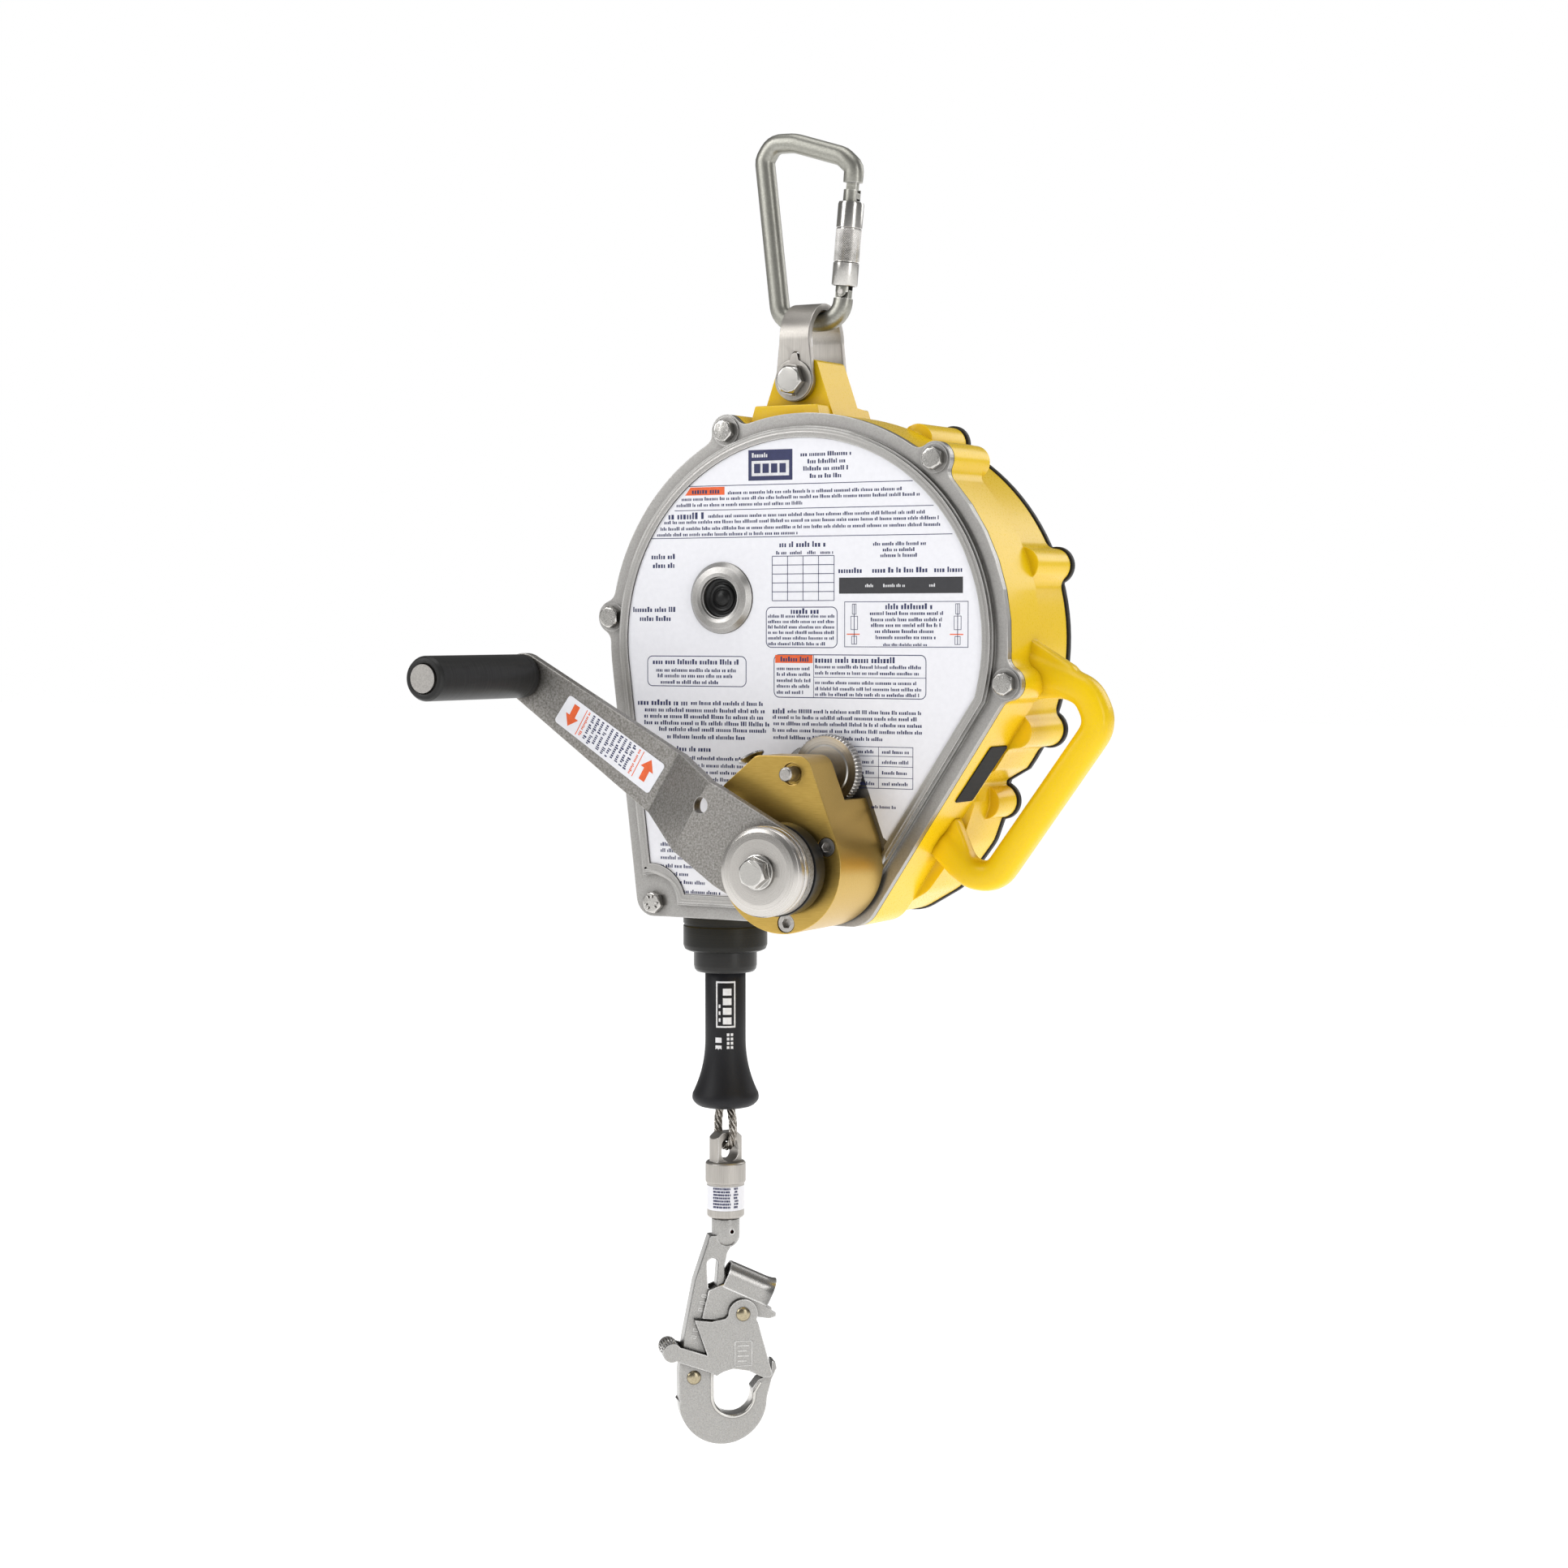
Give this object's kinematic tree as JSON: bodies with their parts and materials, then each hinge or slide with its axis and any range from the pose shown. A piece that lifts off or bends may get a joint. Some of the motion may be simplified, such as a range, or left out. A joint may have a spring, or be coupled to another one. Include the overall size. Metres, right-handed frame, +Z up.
{
  "type": "self retracting lifeline",
  "caption": "Fall arrest block with a carabiner, sprung cable drum, cast housing with carrying handle, retrieval crank winch, and a cable with hand grip and swivel snap hook.",
  "frame": {"origin": "where the anchor bears inside the top bow of the carabiner", "axes": "+Z up along the load line, -Y out of the label cover, +X towards the carrying handle; the drum axle is along Y"},
  "size_m": [0.3332, 0.2565, 0.7582],
  "materials": {
    "zinc_steel": "satin zinc plating",
    "bright_steel": "bright polished steel",
    "bare_steel": "machined",
    "stainless": "satin stainless steel",
    "yellow_paint": "gloss yellow powder coat",
    "cast_aluminium": "satin cast",
    "black_rubber": "moulded",
    "black_plastic": "moulded",
    "label_white": "printed film",
    "dark_paint": "satin dark coating",
    "galvanised_rope": "galvanised wire rope",
    "bronze": "sintered bronze",
    "friction_lining": "friction material",
    "spring_steel": "blued spring steel",
    "gold_anodised": "brushed, gold anodised",
    "tumbled_steel": "tumbled bare steel",
    "indicator_red": "red coating",
    "brass_rivet": "yellow zinc plating"
  },
  "bodies": {
    "carabiner": {"carabiner_frame": "zinc_steel", "gate_pivot_pin": "bare_steel"},
    "gate": {"carabiner_gate": "zinc_steel"},
    "sleeve": {"locking_sleeve": "bright_steel"},
    "strap": {"anchor_strap": "stainless", "anchor_bolt": "bright_steel", "anchor_nut": "bright_steel", "lock_tab": "stainless"},
    "housing": {"housing_shell": "yellow_paint", "grab_handle": "yellow_paint", "front_cover": "cast_aluminium", "cover_gasket": "black_rubber", "cover_label": "label_white", "cover_bolts": "bright_steel", "access_plug": "black_plastic", "rear_cover": "dark_paint", "rear_gasket": "black_rubber", "rear_bolts": "bright_steel", "side_tag": "black_plastic", "lug_bush": "bare_steel", "drum_axle": "bare_steel", "ratchet_ring": "bare_steel", "brake_linings": "friction_lining", "main_spring": "spring_steel", "gearbox_block": "gold_anodised", "gearbox_screws": "bare_steel", "rope_nozzle": "black_plastic"},
    "drum": {"rope_drum": "cast_aluminium", "wound_line": "galvanised_rope", "drum_gear": "bare_steel", "drum_bushes": "bronze", "pawl_pivots": "bare_steel"},
    "pawl_left": {"pawl_b": "bare_steel"},
    "pawl_right": {"pawl_a": "bare_steel"},
    "lifeline": {"line_run": "galvanised_rope", "line_stop": "black_rubber", "line_grip": "black_rubber", "line_loop": "galvanised_rope", "line_ferrule": "bare_steel"},
    "swivel": {"swivel_eye": "stainless", "swivel_label": "label_white"},
    "indicator": {"indicator_stem": "indicator_red"},
    "hook": {"hook_body": "zinc_steel", "hook_rivets": "brass_rivet"},
    "hook_gate": {"hook_gate": "zinc_steel"},
    "hook_roller": {"gate_roller": "bright_steel"},
    "hook_lock": {"lock_lever": "zinc_steel"},
    "gear_shift": {"shift_sleeve": "bronze"},
    "crank": {"crank_shaft": "bare_steel", "crank_pinion": "bare_steel", "brake_disc": "black_plastic", "crank_arm": "tumbled_steel", "crank_label": "label_white", "hub_cap": "stainless", "hub_bolt": "bright_steel", "grip_axle": "bare_steel"},
    "crank_handle": {"crank_grip": "black_rubber"},
    "knob": {"shift_knob": "bright_steel"},
    "clamp_screw": {"lock_screw": "bare_steel"},
    "wheel": {"thumb_wheel": "bare_steel"}
  },
  "joints": [
    {"name": "gate_open", "type": "hinge", "parent": "carabiner", "child": "gate", "pos_m": [0.0301, 0, -0.079], "axis": [0, -1, 0], "range_deg": [0, 22], "stiffness_Nm_per_rad": 0.3, "springref_deg": -28.65},
    {"name": "sleeve_turn", "type": "hinge", "parent": "gate", "child": "sleeve", "pos_m": [0.0301, 0, -0.079], "axis": [0.0943, 0, 0.9955], "range_deg": [0, 90], "stiffness_Nm_per_rad": 0.03, "springref_deg": -28.65},
    {"name": "strap_swing", "type": "hinge", "parent": "carabiner", "child": "strap", "pos_m": [0.0098, 0, -0.0948], "axis": [1, 0, 0], "range_deg": [-45, 45]},
    {"name": "case_swing", "type": "hinge", "parent": "strap", "child": "housing", "pos_m": [0.0098, 0, -0.1289], "axis": [0, 1, 0], "range_deg": [-25, 25]},
    {"name": "drum_spin", "type": "hinge", "parent": "housing", "child": "drum", "pos_m": [0.027, 0, -0.2744], "axis": [0, -1, 0], "range_deg": [0, 360], "stiffness_Nm_per_rad": 0.05, "springref_deg": -1718.87},
    {"name": "lifeline_pull", "type": "slide", "parent": "housing", "child": "lifeline", "axis": [0, 0, -1], "range_m": [0, 0.46815], "deforming": ["line_run"]},
    {"name": "pawl_right_swing", "type": "hinge", "parent": "drum", "child": "pawl_right", "pos_m": [0.05991, 0, -0.2554], "axis": [0, 1, 0], "range_deg": [0, 8], "stiffness_Nm_per_rad": 0.02, "springref_deg": -22.92},
    {"name": "pawl_left_swing", "type": "hinge", "parent": "drum", "child": "pawl_left", "pos_m": [-0.00591, 0, -0.2934], "axis": [0, 1, 0], "range_deg": [0, 8], "stiffness_Nm_per_rad": 0.02, "springref_deg": -22.92},
    {"name": "gear_shift", "type": "slide", "parent": "housing", "child": "gear_shift", "axis": [0, -1, 0], "range_m": [0, 0.0105]},
    {"name": "crank_turn", "type": "hinge", "parent": "gear_shift", "child": "crank", "pos_m": [0.047, 0, -0.39678], "axis": [0, -1, 0], "range_deg": [-1872.5, 0.5]},
    {"name": "crank_handle_spin", "type": "hinge", "parent": "crank", "child": "crank_handle", "pos_m": [-0.12194, 0, -0.29486], "axis": [0, 1, 0], "continuous": true},
    {"name": "knob_lift", "type": "slide", "parent": "housing", "child": "knob", "axis": [-0.4742, 0, 0.8804], "range_m": [0, 0.006], "stiffness_N_per_m": 800, "springref_m": -0.008},
    {"name": "wheel_turn", "type": "hinge", "parent": "housing", "child": "wheel", "pos_m": [0.0496, 0, -0.346], "axis": [0, 1, 0], "range_deg": [0, 1152]},
    {"name": "clamp_screw_feed", "type": "slide", "parent": "housing", "child": "clamp_screw", "axis": [0, 1, 0], "range_m": [0, 0.0041]},
    {"name": "swivel_swing", "type": "hinge", "parent": "lifeline", "child": "swivel", "pos_m": [-0.0475, 0, -0.5706], "axis": [0.8988, -0.4384, 0], "range_deg": [-40, 40]},
    {"name": "impact_slip", "type": "slide", "parent": "swivel", "child": "indicator", "axis": [0, 0, -1], "range_m": [0, 0.004]},
    {"name": "hook_swivel", "type": "hinge", "parent": "indicator", "child": "hook", "pos_m": [-0.0475, 0, -0.6144], "axis": [0, 0, 1], "continuous": true},
    {"name": "hook_gate_open", "type": "hinge", "parent": "hook", "child": "hook_gate", "pos_m": [-0.04091, 0.00553, -0.6681], "axis": [-0.6428, 0.766, 0], "range_deg": [0, 18], "stiffness_Nm_per_rad": 0.3, "springref_deg": -28.65},
    {"name": "roller_spin", "type": "hinge", "parent": "hook_gate", "child": "hook_roller", "pos_m": [-0.07293, -0.02134, -0.6894], "axis": [-0.6428, 0.766, 0], "continuous": true},
    {"name": "hook_lock_press", "type": "hinge", "parent": "hook", "child": "hook_lock", "pos_m": [-0.04091, 0.00553, -0.6681], "axis": [0.6428, -0.766, 0], "range_deg": [0, 5], "stiffness_Nm_per_rad": 0.2, "springref_deg": -28.65}
  ],
  "couplings": [
    {"joint": "lifeline_pull", "follows": "drum_spin", "m_per_rad": 0.0745},
    {"joint": "crank_turn", "follows": "drum_spin", "ratio": -5.2},
    {"joint": "clamp_screw_feed", "follows": "wheel_turn", "m_per_rad": 0.00019894}
  ]
}
